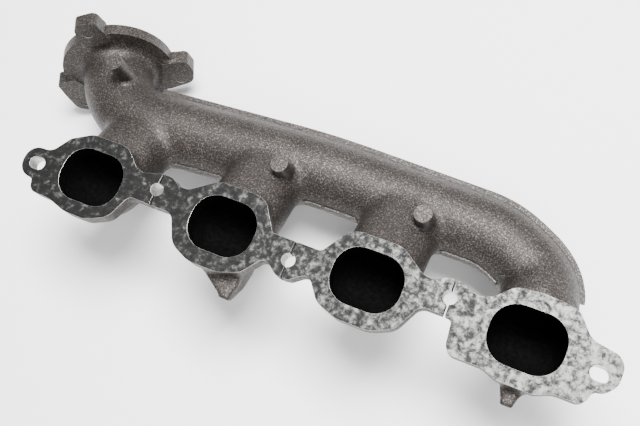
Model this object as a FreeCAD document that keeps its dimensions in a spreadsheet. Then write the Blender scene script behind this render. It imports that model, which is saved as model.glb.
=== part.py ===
"""Cast-iron exhaust manifold for one bank of four cylinders.

Frame, in millimetres: X runs along the row of ports, Y from the ports towards the collecting pipe,
and Z out of the port faces, towards the cylinder head.  The origin is the middle of the port faces'
plane, on the line through the four port centres.  Ports are numbered from the outlet's end, 1 to 4.

The real manifold is one hollow casting.  Here it is divided into its cast features, which meet face
to face: four port flanges, four runners, the spans of the collecting pipe, the outlet elbow and its
flange, the heat shield bosses, the gussets under two runners and the raised land on the mould's
parting line.
"""
import FreeCAD
import Part
import math
import os
import Sketcher
from FreeCAD import Placement, Rotation, Vector

doc = FreeCAD.newDocument("exhaust_manifold")

# --- Driving dimensions ------------------------------------------------------------------------

SIZES = [
    ("port_pitch", 111.76, "cylinder bore spacing"),
    ("port_width", 51.0, "port opening along X"),
    ("port_height", 41.5, "port opening along Y"),
    ("port_corner", 18.0, "radius of the opening's corners"),
    ("flange_thick", 12.0, "port flange thickness"),
    ("wall", 5.0, "casting wall"),
    ("slit", 1.8, "saw cut between two flanges"),
    ("bolt_radius", 5.0, "flange bolt holes and slot ends"),
    ("slot_length", 13.2, "end slots, end to end"),
    ("runner_deep", 60.0, "runner and pipe axis behind the port face"),
    ("runner_straight", 6.0, "straight stretch of a runner's axis behind the port face"),
    ("runner_bend", 27.0, "bend radius of a runner's axis"),
    ("pipe_radius_front", 26.8, "collecting pipe's outer radius at port 4"),
    ("pipe_radius_outlet", 28.7, "collecting pipe's outer radius at the outlet"),
    ("outlet_rim_thick", 10.0, "outlet flange thickness between its lugs"),
    ("outlet_lug_thick", 13.0, "outlet flange thickness at its lugs"),
    ("outlet_rim", 47.0, "outlet flange's outer radius"),
    ("outlet_pcd", 106.0, "circle through the outlet's threaded holes"),
    ("outlet_thread", 4.25, "drilled radius of the outlet's threaded holes"),
    ("outlet_seat", 31.0, "radius of the seat bore in the outlet face"),
    ("outlet_seat_deep", 5.0, "depth of the seat bore"),
    ("boss_radius", 6.9, "heat shield bosses"),
    ("boss_deep", 8.0, "bosses' end faces behind the port face"),
    ("land_width", 4.0, "parting land across"),
    ("land_height", 3.8, "parting land above the pipe on its outer side"),
    ("land_low", 1.2, "parting land above the pipe beside the windows"),
    ("land_deep", 53.5, "parting land's centre behind the port face, at port 4"),
    ("gusset_thick", 9.0, "gussets under the runners"),
]

sheet = doc.addObject("Spreadsheet::Sheet", "sizes")
for row, (alias, value, meaning) in enumerate(SIZES, start=1):
    sheet.set(f"A{row}", meaning)
    sheet.set(f"B{row}", str(value))
    sheet.setAlias(f"B{row}", alias)
doc.recompute()


def size(alias):
    """One driving dimension as a number."""
    return float(getattr(sheet, alias))


def bind(item, path, formula):
    """Bind one property to a formula, in which $name is a cell of the sheet."""
    item.setExpression(path, formula.replace("$", "sizes."))


PORTS = (1, 2, 3, 4)
PORT_FORMULA = {port: f"({port} - 2.5) * $port_pitch" for port in PORTS}
PORT_X = {port: (port - 2.5) * size("port_pitch") for port in PORTS}
THICK = size("flange_thick")
DEEP = size("runner_deep")
BEND = size("runner_bend")
STRAIGHT = size("runner_straight")

# --- Outlines: corners as (x, y, radius of the round at that corner) ---------------------------

# Centres of the bolt holes and end slots in the port flanges, from the outlet's end of the row.
BOLTS = [(-214.2, -4.2), (-114.0, 8.5), (-0.5, -6.2), (112.4, 8.5), (216.2, -4.2)]

# A middle flange about its port's centre: an upper bolt web on the left, a lower one on the right.
MIDDLE_TOP = [(-50.8, 20.7, 6), (-38.8, 13.8, 12), (-15.0, 30.2, 16), (22.0, 29.9, 14),
              (37.0, 7.8, 4)]
MIDDLE_BOTTOM = [(50.5, -18.9, 4), (39.0, -10.2, 6), (26.5, -26.5, 12), (10.0, -32.2, 20),
                 (-13.0, -32.2, 20), (-29.5, -25.0, 14), (-40.0, -4.0, 8)]

# The flange of port 1, anticlockwise backwards from the saw cut: web, ring, slotted lug, ring.
FIRST_FLANGE = [(-132.0, -3.6, 5), (-141.0, -23.5, 12), (-157.5, -31.2, 14), (-176.0, -31.1, 20),
                (-192.0, -26.2, 16), (-209.5, -25.6, 6), (-213.0, -16.2, 2), (-226.6, -16.2, 11),
                (-226.6, 7.7, 11), (-207.5, 8.2, 9), (-197.0, 22.6, 6), (-181.0, 31.2, 12),
                (-150.0, 31.2, 14), (-133.5, 15.4, 12)]

# The flange of port 4, the same way round: ring, slotted lug, ring, square corner.
LAST_FLANGE = [(117.5, 20.4, 5), (127.0, 15.2, 12), (138.5, 18.6, 14), (150.0, 30.2, 12),
               (168.0, 32.4, 30), (192.5, 30.2, 12), (204.8, 14.6, 12), (229.0, 10.4, 10),
               (229.0, -15.2, 12), (215.8, -15.2, 2), (212.5, -26.8, 7), (194.0, -26.8, 12),
               (182.0, -31.8, 12), (158.0, -31.8, 14), (147.0, -27.5, 14), (121.0, -27.5, 8),
               (118.3, -4.4, 2)]

UPPER_WEB = (-4.0, 20.8)
LOWER_WEB = (-19.6, 7.8)


def cut_end(bolt, side, web):
    """The square end of a web beside the saw cut through a bolt hole, clockwise."""
    x = BOLTS[bolt][0] + side * size("slit") / 2
    low, high = [(x, y, 0.0) for y in web]
    return [low, high] if side > 0 else [high, low]


def moved(corners, port, turn=1):
    """Corners about a port's centre, turned left to right when turn is -1."""
    there = [(turn * x + PORT_X[port], y, radius) for x, y, radius in corners]
    return there if turn > 0 else there[::-1]


def flange_outline(port):
    """The corners of one port flange, clockwise as seen from the cylinder head."""
    if port == 1:
        return cut_end(1, -1, UPPER_WEB) + FIRST_FLANGE
    if port == 2:
        return (cut_end(1, 1, UPPER_WEB) + moved(MIDDLE_TOP, 2)
                + cut_end(2, -1, LOWER_WEB) + moved(MIDDLE_BOTTOM, 2))
    if port == 3:
        return (cut_end(2, 1, LOWER_WEB) + moved(MIDDLE_TOP, 3, -1)
                + cut_end(3, -1, UPPER_WEB) + moved(MIDDLE_BOTTOM, 3, -1))
    return cut_end(3, 1, UPPER_WEB) + LAST_FLANGE


def rounded_edges(corners):
    """Lines and arcs through corners given as (Vector, radius), closed or open at radius 0 ends."""
    count = len(corners)
    tangents = []
    for index, (corner, radius) in enumerate(corners):
        if radius == 0:
            tangents.append((corner, corner, None))
            continue
        before = (corners[index - 1][0] - corner).normalize()
        after = (corners[(index + 1) % count][0] - corner).normalize()
        half = before.getAngle(after) / 2
        reach = radius / math.tan(half)
        middle = corner + (before + after).normalize() * (radius / math.sin(half) - radius)
        tangents.append((corner + before * reach, corner + after * reach, middle))
    edges = []
    for index, (start, end, middle) in enumerate(tangents):
        if middle is not None:
            edges.append(Part.Arc(start, middle, end))
        following = tangents[(index + 1) % count][0]
        if (following - end).Length > 1e-6:
            edges.append(Part.LineSegment(end, following))
    return edges


# --- Sketches ----------------------------------------------------------------------------------

def body_sketch(body, name, plane="XY_Plane"):
    """An empty sketch on one of a body's own planes."""
    sketch = body.newObject("Sketcher::SketchObject", name)
    origin = [feature for feature in body.Origin.OriginFeatures if feature.Role == plane][0]
    sketch.AttachmentSupport = [(origin, "")]
    sketch.MapMode = "FlatFace"
    return sketch


def draw_outline(sketch, corners):
    """Draw a closed outline of (x, y, radius) corners as lines and arcs, end to end."""
    edges = rounded_edges([(Vector(x, y, 0), radius) for x, y, radius in corners])
    for edge in edges:
        shape = edge.toShape()
        if isinstance(edge, Part.Arc):
            edge = Part.ArcOfCircle(shape.Curve, *shape.ParameterRange)
        sketch.addGeometry(edge, False)


def draw_rounded_rectangle(sketch, centre, width, height, corner):
    """Draw a rounded rectangle centred on (centre, 0), each size bound to a formula."""
    line, arc = Part.LineSegment, Part.ArcOfCircle
    x, y, r = 25.0, 20.0, 10.0
    up = Vector(0, 0, 1)
    quarter = math.pi / 2
    sketch.addGeometry([
        line(Vector(r - x, -y, 0), Vector(x - r, -y, 0)),
        arc(Part.Circle(Vector(x - r, r - y, 0), up, r), -quarter, 0),
        line(Vector(x, r - y, 0), Vector(x, y - r, 0)),
        arc(Part.Circle(Vector(x - r, y - r, 0), up, r), 0, quarter),
        line(Vector(x - r, y, 0), Vector(r - x, y, 0)),
        arc(Part.Circle(Vector(r - x, y - r, 0), up, r), quarter, 2 * quarter),
        line(Vector(-x, y - r, 0), Vector(-x, r - y, 0)),
        arc(Part.Circle(Vector(r - x, r - y, 0), up, r), 2 * quarter, 3 * quarter),
    ], False)
    for index in range(8):
        sketch.addConstraint(Sketcher.Constraint("Tangent", index, 2, (index + 1) % 8, 1))
    for index in (0, 4):
        sketch.addConstraint(Sketcher.Constraint("Horizontal", index))
    for index in (2, 6):
        sketch.addConstraint(Sketcher.Constraint("Vertical", index))
    for index in (3, 5, 7):
        sketch.addConstraint(Sketcher.Constraint("Equal", 1, index))
    sizes = [
        ("corner", Sketcher.Constraint("Radius", 1, r), corner),
        ("width", Sketcher.Constraint("DistanceX", 6, 1, 2, 1, 2 * x), width),
        ("height", Sketcher.Constraint("DistanceY", 0, 1, 4, 1, 2 * y), height),
        ("left", Sketcher.Constraint("DistanceX", -1, 1, 6, 1, -x), f"{centre} - ({width}) / 2"),
        ("low", Sketcher.Constraint("DistanceY", -1, 1, 0, 1, -y), f"-({height}) / 2"),
    ]
    for name, constraint, formula in sizes:
        index = sketch.addConstraint(constraint)
        sketch.renameConstraint(index, name)
        bind(sketch, f"Constraints.{name}", formula)


def pad(body, sketch, length, name, reverse=True):
    """Extrude a sketch, by default away from the cylinder head."""
    feature = body.newObject("PartDesign::Pad", name)
    feature.Profile = sketch
    feature.Reversed = reverse
    bind(feature, "Length", length)
    return feature


def pocket(body, sketch, length, name):
    """Cut a sketch into a body, away from the cylinder head."""
    feature = body.newObject("PartDesign::Pocket", name)
    feature.Profile = sketch
    bind(feature, "Length", length)
    return feature


def new_body(name):
    body = doc.addObject("PartDesign::Body", name)
    body.Label = name
    return body


# --- Port flanges ------------------------------------------------------------------------------

def bolt_sketch(body, bolt, name):
    """A bolt hole, or at either end of the row a slot along X."""
    x, y = BOLTS[bolt]
    sketch = body_sketch(body, name)
    if bolt in (0, len(BOLTS) - 1):
        half = size("slot_length") / 2
        radius = size("bolt_radius")
        draw_outline(sketch, [(x + side * half, y + rise * radius, radius)
                              for side, rise in ((-1, -1), (-1, 1), (1, 1), (1, -1))])
        return sketch
    sketch.addGeometry(Part.Circle(Vector(x, y, 0), Vector(0, 0, 1), size("bolt_radius")), False)
    radius = sketch.addConstraint(Sketcher.Constraint("Radius", 0, size("bolt_radius")))
    sketch.renameConstraint(radius, "radius")
    bind(sketch, "Constraints.radius", "$bolt_radius")
    for axis, value in (("DistanceX", x), ("DistanceY", y)):
        sketch.addConstraint(Sketcher.Constraint(axis, -1, 1, 0, 3, value))
    return sketch


def port_flange(port):
    """One machined pad: its plate, its port opening and the bolt holes it shares or holds."""
    body = new_body(f"port_flange_{port}")
    plate = body_sketch(body, f"flange_outline_{port}")
    draw_outline(plate, flange_outline(port))
    pad(body, plate, "$flange_thick", f"plate_{port}")
    opening = body_sketch(body, f"port_outline_{port}")
    draw_rounded_rectangle(opening, PORT_FORMULA[port], "$port_width", "$port_height",
                           "$port_corner")
    pocket(body, opening, "$flange_thick", f"port_{port}")
    for bolt in (port - 1, port):
        hole = bolt_sketch(body, bolt, f"bolt_outline_{port}_{bolt}")
        pocket(body, hole, "$flange_thick", f"bolt_{port}_{bolt}")
    return body


flanges = [port_flange(port) for port in PORTS]

# --- The casting's outside and core ------------------------------------------------------------

# The collecting pipe's axis: out of port 4's bend, along the row, round the elbow and out.  Past
# that bend it lies in a plane that comes slightly towards the cylinder head on its way to the elbow.
OUTLET_AXIS = Vector(-0.473, 0.856, -0.208).normalize()
OUTLET_CENTRE = Vector(-231.3, 114.1, -67.1)
AXIS_RISE = 0.01346
ELBOW_REACH = 58.3


def on_axis_plane(x, y):
    """A point of the collecting pipe's axis plane."""
    return Vector(x, y, -DEEP + AXIS_RISE * (PORT_X[4] - x))


FRONT_CORNER = on_axis_plane(PORT_X[4], 51.7)
# Runner 4 swallows the pipe's first stretch, which starts part of the way up from port 4's bend.
PORT_4_CORNER = Vector(PORT_X[4], 0, -23)
PIPE_START = PORT_4_CORNER + (FRONT_CORNER - PORT_4_CORNER) * 0.45
AXIS_CORNERS = [(PIPE_START, 0), (FRONT_CORNER, 32),
                (on_axis_plane(124.0, 73.2), 70), (on_axis_plane(-20.0, 76.0), 700),
                (OUTLET_CENTRE - OUTLET_AXIS * ELBOW_REACH, 60),
                (OUTLET_CENTRE - OUTLET_AXIS * size("outlet_rim_thick"), 0)]


def open_wire(corners):
    """A wire of lines and arcs from the first corner to the last."""
    edges = rounded_edges(corners)[:-1]
    return Part.Wire([edge.toShape() for edge in edges])


pipe_axis = doc.addObject("Part::Feature", "pipe_axis")
pipe_axis.Shape = open_wire(AXIS_CORNERS)


def ring_on_axis(name, at_outlet, formula):
    """A circle round the collecting pipe's axis, at one end of it."""
    ring = doc.addObject("Part::Circle", name)
    bind(ring, "Radius", formula)
    start, second = AXIS_CORNERS[0][0], AXIS_CORNERS[1][0]
    base, way = (AXIS_CORNERS[-1][0], OUTLET_AXIS) if at_outlet else (start, second - start)
    ring.Placement = Placement(base, Rotation(Vector(0, 0, 1), way))
    return ring


def pipe(name, extra):
    """The collecting pipe as a solid whose radius grows evenly from port 4 to the outlet."""
    sweep = doc.addObject("Part::Sweep", name)
    sweep.Sections = [ring_on_axis(f"{name}_start", False, f"$pipe_radius_front {extra}"),
                      ring_on_axis(f"{name}_end", True, f"$pipe_radius_outlet {extra}")]
    edges = [f"Edge{index}" for index in range(1, len(pipe_axis.Shape.Edges) + 1)]
    sweep.Spine = (pipe_axis, edges)
    sweep.Solid = True
    return sweep


# Where each runner's axis ends, on the collecting pipe's axis: (y, z).
JOINS = {1: (66.6, -56.2), 2: (74.5, -57.5), 3: (75.8, -58.7), 4: (32.0, -46.0)}


def runner_axis(port, top):
    """A runner's axis: straight in from the face, round one bend, then slanting to the pipe."""
    sketch = doc.addObject("Sketcher::SketchObject", f"runner_axis_{port}_{top:.0f}")
    sketch.Placement = Placement(Vector(PORT_X[port], 0, 0),
                                 Rotation(Vector(0, 1, 0), Vector(0, 0, 1), Vector(1, 0, 0), "ZXY"))
    centre = Vector(BEND, -STRAIGHT, 0)
    join = Vector(*JOINS[port], 0)
    away = join - centre
    swing = math.acos(BEND / away.Length)
    leave = math.atan2(away.y, away.x) - swing
    touch = centre + Vector(math.cos(leave), math.sin(leave), 0) * BEND
    turn = Part.Circle(centre, Vector(0, 0, 1), BEND)
    sketch.addGeometry([
        Part.LineSegment(Vector(0, top, 0), Vector(0, -STRAIGHT, 0)),
        Part.ArcOfCircle(turn, -math.pi, leave),
        Part.LineSegment(touch, join),
    ], False)
    bind(sketch, "Placement.Base.x", PORT_FORMULA[port])
    return sketch


def runner(port, name, top, extra):
    """A runner as a solid of the port's section, larger all round by the formula extra."""
    section = doc.addObject("Sketcher::SketchObject", f"{name}_section")
    draw_rounded_rectangle(section, PORT_FORMULA[port], f"$port_width + 2 * {extra}",
                           f"$port_height + 2 * {extra}", f"$port_corner + {extra}")
    section.Placement = Placement(Vector(0, 0, top), Rotation())
    sweep = doc.addObject("Part::Sweep", name)
    sweep.Sections = [section]
    sweep.Spine = (runner_axis(port, top), ["Edge1", "Edge2", "Edge3"])
    sweep.Solid = True
    return sweep


def combine(kind, name, shapes):
    """A fusion of many shapes."""
    result = doc.addObject(kind, name)
    result.Shapes = shapes
    return result


def cut(name, base, tool):
    result = doc.addObject("Part::Cut", name)
    result.Base = base
    result.Tool = tool
    return result


def common(name, first, second):
    return combine("Part::MultiCommon", name, [first, second])


outside = combine("Part::MultiFuse", "outside",
                  [runner(port, f"runner_outside_{port}", 0, "$wall") for port in PORTS]
                  + [pipe("pipe_outside", "")])
core = combine("Part::MultiFuse", "core",
               [runner(port, f"runner_core_{port}", 0, "0") for port in PORTS]
               + [pipe("pipe_core", "- $wall")])
casting = cut("casting", outside, core)


def block(name, low, high):
    """A box between two corners."""
    box = doc.addObject("Part::Box", name)
    box.Length, box.Width, box.Height = [b - a for a, b in zip(low, high)]
    box.Placement = Placement(Vector(*low), Rotation())
    return box


# --- Nodes cut from the casting ----------------------------------------------------------------

# Runners 1 to 3 end at a level plane just above the pipe's underside; runner 4 is the pipe's own
# first bend, so it ends at an upright plane.
RUNNER_TOP = {1: 40.0, 2: 47.0, 3: 49.0}
RUNNER_HALF = size("port_width") / 2 + size("wall") + 2.5
FRONT_END = PORT_X[4] - 42.0
ELBOW_END = PORT_X[1] - 31.0
BACK, FAR = -130.0, 300.0

runner_blocks = [block(f"runner_block_{port}", (PORT_X[port] - RUNNER_HALF, -60, BACK),
                       (PORT_X[port] + RUNNER_HALF, RUNNER_TOP[port], -THICK))
                 for port in (1, 2, 3)]
runner_blocks.append(block("runner_block_4", (FRONT_END, -60, BACK), (FAR, 150, -THICK)))
pipe_only = cut("pipe_only", casting, combine("Part::MultiFuse", "all_runner_blocks", runner_blocks))

nodes = list(flanges)
for port, shape in zip(PORTS, runner_blocks):
    nodes.append(common(f"runner_{port}", casting, shape))

span_ends = [ELBOW_END, -size("port_pitch"), 0.0, FRONT_END]
for span in (1, 2, 3):
    slab = block(f"span_block_{span}", (span_ends[span - 1], -60, BACK), (span_ends[span], 200, -THICK))
    nodes.append(common(f"collector_span_{span}", pipe_only, slab))
elbow_block = block("elbow_block", (-FAR, -60, BACK), (ELBOW_END, 200, -THICK))
nodes.append(common("outlet_elbow", pipe_only, elbow_block))

# --- Outlet flange -----------------------------------------------------------------------------

# Lug outlines as (angle from the first lug, distance from the axis, round), anticlockwise.  The
# first lug is even; the other two are broad ears whose square shoulders face the first one.
LUG_OUTLINES = [
    [(-12.5, 49.5, 7), (-7.2, 63.0, 5), (10.0, 63.0, 5), (15.0, 49.5, 7)],
    [(94.9, 48.0, 3), (96.7, 60.0, 4), (108.7, 64.0, 8), (121.0, 64.0, 9), (130.0, 53.0, 9),
     (138.0, 46.8, 0)],
    [(-140.0, 47.0, 8), (-131.0, 60.0, 9), (-117.0, 64.0, 8), (-101.3, 58.6, 20), (-83.8, 57.0, 4),
     (-82.7, 48.0, 3)],
]
THREAD_ANGLES = [0.0, 120.0, 240.0]
# The first lug points nearly straight at the cylinder head: this turn away from it, in degrees.
OUTLET_TURN = -5.2
# How far a lug's outline reaches into the rim, so that the two join.
LUG_ROOT = 8.0


def polar(angle, distance):
    turn = math.radians(angle)
    return distance * math.cos(turn), distance * math.sin(turn)


def round_hole(sketch, x, y, radius):
    """A circle of a bound radius at a point of a sketch."""
    sketch.addGeometry(Part.Circle(Vector(x, y, 0), Vector(0, 0, 1), 5.0), False)
    index = sketch.addConstraint(Sketcher.Constraint("Radius", 0, 5.0))
    sketch.renameConstraint(index, "radius")
    bind(sketch, "Constraints.radius", radius)


def outlet_flange():
    """A thin round rim with three thick lugs, a bore, a seat and threaded holes."""
    body = new_body("outlet_flange")
    rim = size("outlet_rim")
    round_plate = body_sketch(body, "outlet_rim_outline")
    round_hole(round_plate, 0, 0, "$outlet_rim")
    pad(body, round_plate, "$outlet_rim_thick", "outlet_rim_plate")
    for index, outline in enumerate(LUG_OUTLINES):
        lug = body_sketch(body, f"outlet_lug_outline_{index}")
        inner = [(*polar(angle, rim - LUG_ROOT), 0) for angle in (outline[-1][0], outline[0][0])]
        draw_outline(lug, [(*polar(angle, far), bend) for angle, far, bend in outline] + inner)
        pad(body, lug, "$outlet_lug_thick", f"outlet_lug_{index}")
    for name, radius, depth in (("bore", "$pipe_radius_outlet - $wall", "$outlet_rim_thick"),
                                ("seat", "$outlet_seat", "$outlet_seat_deep")):
        sketch = body_sketch(body, f"outlet_{name}_outline")
        round_hole(sketch, 0, 0, radius)
        pocket(body, sketch, depth, f"outlet_{name}")
    for index, angle in enumerate(THREAD_ANGLES):
        sketch = body_sketch(body, f"outlet_thread_outline_{index}")
        round_hole(sketch, *polar(angle, size("outlet_pcd") / 2), "$outlet_thread")
        pocket(body, sketch, "$outlet_lug_thick", f"outlet_thread_{index}")
    lug_way = Vector(0, 0, 1) - OUTLET_AXIS * OUTLET_AXIS.z
    facing = Rotation(lug_way, Vector(), OUTLET_AXIS, "ZXY")
    body.Placement = Placement(OUTLET_CENTRE, facing * Rotation(Vector(0, 0, 1), OUTLET_TURN))
    return body

nodes.append(outlet_flange())

# --- Bosses, gussets and parting land ----------------------------------------------------------

BOSSES = {1: (-199.1, 93.8), 2: (-38.3, 59.1), 3: (73.8, 58.6)}


def boss(number):
    """A plain round boss for the heat shield, standing on the pipe and facing the head."""
    x, y = BOSSES[number]
    cylinder = doc.addObject("Part::Cylinder", f"boss_{number}_blank")
    bind(cylinder, "Radius", "$boss_radius")
    bind(cylinder, "Height", "$runner_deep - $boss_deep")
    cylinder.Placement = Placement(Vector(x, y, -DEEP), Rotation())
    filled = combine("Part::MultiFuse", f"boss_{number}_bed", [outside, core])
    return cut(f"heat_shield_boss_{number}", cylinder, filled)


nodes += [boss(number) for number in BOSSES]

# Each gusset: the middle of its web, its tip's height and the ends of its flare behind the flange.
GUSSETS = {2: (-38.5, -46.5, -65.0, -32.5), 4: (169.0, -43.5, 160.0, 182.0)}


def gusset(port):
    """A web under a runner, from the flange's back, with a flare on either side at the flange.

    Both outlines start inside the runner, whose outside then trims them.
    """
    middle, tip, flare_left, flare_right = GUSSETS[port]
    body = new_body(f"gusset_{port}_blank")
    half = size("gusset_thick") / 2
    flare = body_sketch(body, f"flare_outline_{port}")
    draw_outline(flare, [(flare_left, -15, 0), (flare_left, -30, 3), (middle - half, tip + 2, 12),
                         (middle - half + 3, tip, 2), (middle + half - 1, tip, 4),
                         (middle + half + 2, -34, 6), (flare_right, -29, 3), (flare_right, -15, 0)])
    pad(body, flare, "$flange_thick / 2", f"flare_{port}")
    web = body_sketch(body, f"web_outline_{port}", "YZ_Plane")
    draw_outline(web, [(-10, 0, 0), (tip, 0, 0), (tip, -8, 6), (-33, -24, 9), (-20, -30, 4), (-8, -30, 0)])
    web.AttachmentOffset = Placement(Vector(0, 0, middle - half), Rotation())
    pad(body, web, "$gusset_thick", f"web_{port}", reverse=False)
    body.Placement = Placement(Vector(0, 0, -THICK), Rotation())
    filled = combine("Part::MultiFuse", f"gusset_{port}_bed", [outside, core])
    return cut(f"runner_gusset_{port}", body, filled)


nodes += [gusset(port) for port in GUSSETS]

# The mould's parting plane lies behind the port faces and follows the collecting pipe's axis plane.
LAND_END = 150.0
land_slab = doc.addObject("Part::Box", "land_slab")
land_slab.Length, land_slab.Width = 500, 200
bind(land_slab, "Height", "$land_width")
slab_middle = Vector(-300, 0, -size("land_deep") + AXIS_RISE * (PORT_X[4] + 300)
                     - size("land_width") / 2)
land_slab.Placement = Placement(slab_middle, Rotation(Vector(0, 1, 0), math.degrees(AXIS_RISE)))
land_bed = combine("Part::MultiFuse", "land_bed", [outside, core])


def land(name, height, low, high):
    """A stretch of the parting land between two corners of a block."""
    band = common(f"{name}_band", pipe(f"{name}_pipe", f"+ ${height}"), land_slab)
    clear = cut(f"{name}_clear", band, land_bed)
    return common(name, clear, block(f"{name}_block", (*low, BACK), (*high, -THICK)))


nodes.append(land("parting_land_pipe", "land_height", (-170.0, 80.0), (LAND_END, 130.0)))
nodes.append(land("parting_land_runner_4", "land_height", (LAND_END, 45.0), (220.0, 130.0)))
for span in (1, 2, 3):
    nodes.append(land(f"parting_land_window_{span}", "land_low", (PORT_X[span] + RUNNER_HALF, 20.0),
                      (PORT_X[span + 1] - RUNNER_HALF, 60.0)))

# --- Check and write ---------------------------------------------------------------------------

doc.recompute()
for item in doc.Objects:
    if "Invalid" in item.State or "Error" in item.State:
        raise RuntimeError(f"{item.Name} did not recompute: {item.State}")

os.makedirs("parts", exist_ok=True)
for node in nodes:
    node.Label = node.Name
    shape = node.Shape
    if shape.isNull() or not shape.isValid() or not shape.Solids:
        raise RuntimeError(f"{node.Name} has no valid solid")
    shape.exportStep(f"parts/{node.Name}.step")
    box = shape.BoundBox
    print(f"{node.Name:24s} {len(shape.Solids)} solid {shape.Volume / 1000:8.1f} cm3  "
          f"x {box.XMin:7.1f} {box.XMax:7.1f}  y {box.YMin:6.1f} {box.YMax:6.1f}  "
          f"z {box.ZMin:7.1f} {box.ZMax:6.1f}")
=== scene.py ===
# %% [markdown]
# # A cast-iron exhaust manifold
#
# Hot gas leaves four ports of a cylinder head, turns through four short runners into one
# collecting pipe and leaves by a round flange at its end. The real object is one hollow casting:
# a foundry pours the rough shape, and a milling cutter, a drill and a saw then work only the
# places that have to fit something. The scene is built in that order: rough iron first, then the
# machined pads, then the finishes.
#
# Everything is in metres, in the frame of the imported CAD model. X runs along the ports, Y from
# the ports to the pipe and Z out of the port faces.

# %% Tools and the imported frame
import math

import bmesh
import bpy
from mathutils import Matrix, Vector
from mathutils.bvhtree import BVHTree


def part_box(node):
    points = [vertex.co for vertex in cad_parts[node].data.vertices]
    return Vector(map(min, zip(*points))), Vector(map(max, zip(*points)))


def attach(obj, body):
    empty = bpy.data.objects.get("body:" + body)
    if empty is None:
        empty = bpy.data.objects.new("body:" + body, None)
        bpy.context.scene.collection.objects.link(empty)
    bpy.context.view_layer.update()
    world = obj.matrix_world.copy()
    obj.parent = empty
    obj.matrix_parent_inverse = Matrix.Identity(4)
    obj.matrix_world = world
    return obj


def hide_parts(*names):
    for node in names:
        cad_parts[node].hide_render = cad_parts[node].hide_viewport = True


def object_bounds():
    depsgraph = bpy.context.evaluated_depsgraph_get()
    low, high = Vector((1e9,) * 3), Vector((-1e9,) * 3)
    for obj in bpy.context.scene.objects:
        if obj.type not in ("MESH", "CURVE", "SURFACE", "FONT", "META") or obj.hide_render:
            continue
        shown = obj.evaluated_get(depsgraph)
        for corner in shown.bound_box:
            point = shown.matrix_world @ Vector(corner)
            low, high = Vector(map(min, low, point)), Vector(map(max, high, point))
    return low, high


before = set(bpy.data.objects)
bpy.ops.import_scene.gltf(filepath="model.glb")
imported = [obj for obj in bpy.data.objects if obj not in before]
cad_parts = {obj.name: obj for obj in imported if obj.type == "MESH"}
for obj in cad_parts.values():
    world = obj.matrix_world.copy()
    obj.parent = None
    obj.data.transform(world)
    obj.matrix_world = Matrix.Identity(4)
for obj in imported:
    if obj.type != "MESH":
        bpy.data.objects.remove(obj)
CAD_BOX = [list(corner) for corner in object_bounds()]
MM = 0.001
print("CAD box in mm:", [[round(value / MM) for value in corner] for corner in CAD_BOX])

# %% [markdown]
# ## The main sizes
#
# These few numbers repeat the CAD model's own driving sizes, because the rough casting is made
# again here with its fillets. The places of single features are read from the frame instead.

# %% Main sizes
PORTS = (1, 2, 3, 4)
PITCH = 111.76 * MM
PORT_X = {port: (port - 2.5) * PITCH for port in PORTS}
PORT_WIDTH, PORT_HEIGHT, PORT_CORNER = 51 * MM, 41.5 * MM, 18 * MM
WALL = 5 * MM
PAD_THICK = 12 * MM
PIPE_FRONT, PIPE_OUTLET = 26.8 * MM, 28.7 * MM
PIPE_DEEP, PIPE_RISE = 60 * MM, 0.01346
OUTLET_CENTRE = Vector((-231.3, 114.1, -67.1)) * MM
OUTLET_AXIS = Vector((-0.473, 0.856, -0.208)).normalized()
OUTLET_RIM, OUTLET_THICK, OUTLET_LUG_THICK = 47 * MM, 10 * MM, 13 * MM


# %% [markdown]
# ## Helpers: from bmesh to object, and a swept section
#
# A bmesh is Blender's mesh in editable form. Each piece is shaped as a bmesh and then written to
# an object that rides on the CAD body. A tube could be a curve with a bevel; a section that is
# extruded and turned step by step is used instead, because it gives a closed solid, which the
# voxel remesher needs.

# %% Objects from bmeshes
def finish_object(name, bm, materials=()):
    """Writes a bmesh to a new object and returns it."""
    mesh = bpy.data.meshes.new(name)
    bm.to_mesh(mesh)
    bm.free()
    piece = bpy.data.objects.new(name, mesh)
    bpy.context.scene.collection.objects.link(piece)
    for material in materials:
        mesh.materials.append(material)
    return piece


def shape_after_modifiers(piece):
    """The mesh of an object with its modifiers applied; the object itself is removed."""
    depsgraph = bpy.context.evaluated_depsgraph_get()
    mesh = bpy.data.meshes.new_from_object(piece.evaluated_get(depsgraph))
    bm = bmesh.new()
    bm.from_mesh(mesh)
    bpy.data.meshes.remove(mesh)
    bpy.data.objects.remove(piece)
    return bm


def join(*parts):
    """One bmesh that holds all the parts, which are freed."""
    whole = bmesh.new()
    for part in parts:
        mesh = bpy.data.meshes.new("part")
        part.to_mesh(mesh)
        whole.from_mesh(mesh)
        bpy.data.meshes.remove(mesh)
        part.free()
    return whole


# %% Rounded outlines
def rounded_face(corners):
    """A bmesh with one flat face through (x, y, round) corners, each rounded by a vertex bevel."""
    bm = bmesh.new()
    verts = [bm.verts.new((x, y, 0)) for x, y, _ in corners]
    bm.faces.new(verts)
    places = [vert.co.copy() for vert in verts]
    for index, (_, _, radius) in enumerate(corners):
        before, here, after = (places[(index + step) % len(places)] for step in (-1, 0, 1))
        inside = (before - here).angle(after - here)
        if radius > 0:
            bmesh.ops.bevel(bm, geom=[verts[index]], offset=radius / math.tan(inside / 2),
                            offset_type="OFFSET", segments=8, profile=0.5, affect="VERTICES",
                            material=-1, clamp_overlap=True)
    return bm


def rounded_rectangle(width, height, radius):
    """A bmesh with one rounded rectangle, centred on the origin."""
    x, y = width / 2, height / 2
    return rounded_face([(x, y, radius), (-x, y, radius), (-x, -y, radius), (x, -y, radius)])


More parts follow.
